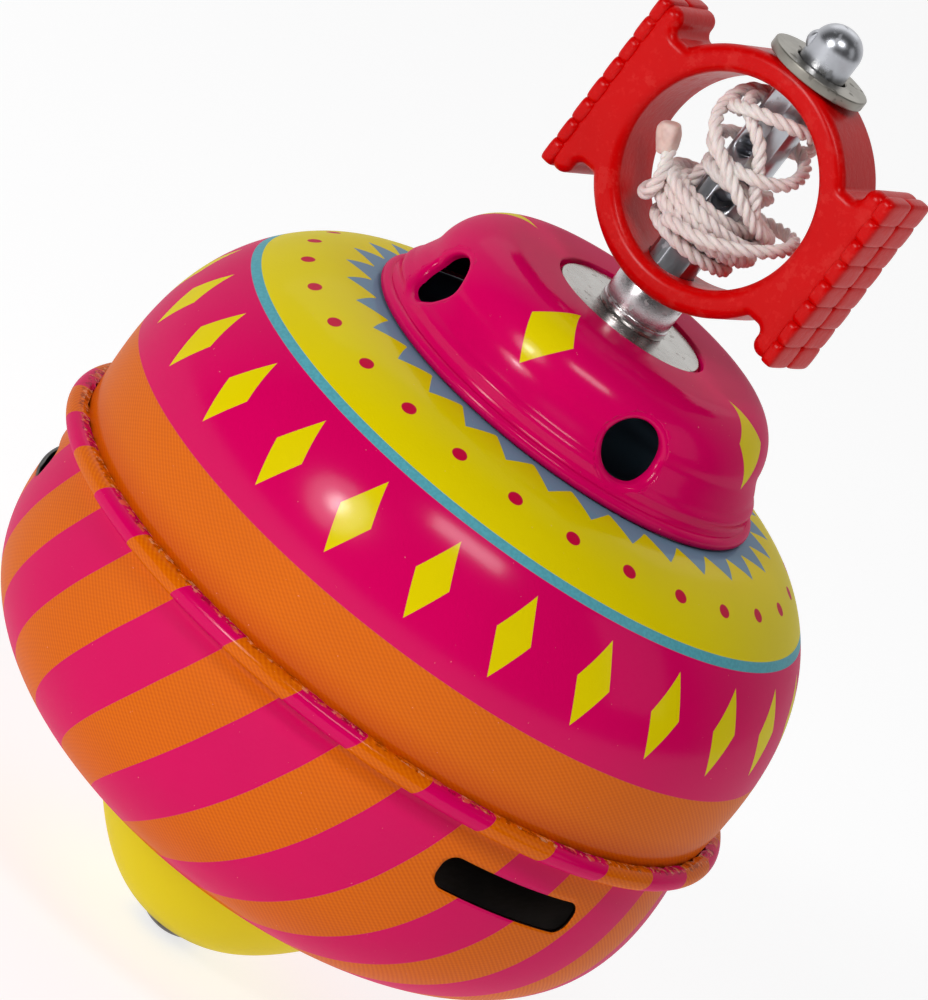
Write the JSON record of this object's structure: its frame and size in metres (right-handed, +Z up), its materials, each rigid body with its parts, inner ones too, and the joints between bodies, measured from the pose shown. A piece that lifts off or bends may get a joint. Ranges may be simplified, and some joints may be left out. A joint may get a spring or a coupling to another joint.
{
  "type": "spinning top",
  "caption": "Printed tin pull-cord humming top with a red plastic grip handle on a steel spindle.",
  "frame": {"origin": "lowest point of the tip, on the spin axis", "axes": "+Z up the spin axis; the handle's ring lies in the XZ plane and its hole runs along Y"},
  "size_m": [0.0726, 0.0726, 0.1061],
  "materials": {
    "lower_print": "printed and lacquered tin, slanted stripes",
    "upper_print": "printed and lacquered tin, rings of shapes",
    "cap_pink": "printed and lacquered tin, pink with cyan shapes",
    "nose_yellow": "yellow lacquered tin",
    "bright_disc": "bright turned disc",
    "collar_steel": "plated tube",
    "spindle_steel": "plated rod",
    "washer_steel": "dull plated steel",
    "dark_steel": "worn dark steel",
    "red_plastic": "satin moulded plastic",
    "cord": "three-strand twisted white cord",
    "cord_end": "melted cord end"
  },
  "bodies": {
    "top": {"lower_shell": "lower_print", "nose_cup": "nose_yellow", "tip": "dark_steel", "tip_washer": "washer_steel", "upper_shell": "upper_print", "cap": "cap_pink", "cap_disc": "bright_disc", "spacer_collar": "collar_steel", "backing_washer": "washer_steel", "spindle": "spindle_steel", "pull_cord_coil": "cord", "pull_cord_loops": "cord", "pull_cord_tail": "cord", "pull_cord_riser": "cord", "pull_cord_knot": "cord_end"},
    "washer": {"retaining_washer": "washer_steel"},
    "handle": {"handle": "red_plastic"}
  },
  "joints": [
    {"name": "handle_float", "type": "slide", "parent": "top", "child": "washer", "axis": [0, 0, 1], "range_m": [0, 0.0009]},
    {"name": "handle_spin", "type": "hinge", "parent": "washer", "child": "handle", "pos_m": [0, 0, 0.08875], "axis": [0, 0, 1], "continuous": true}
  ]
}
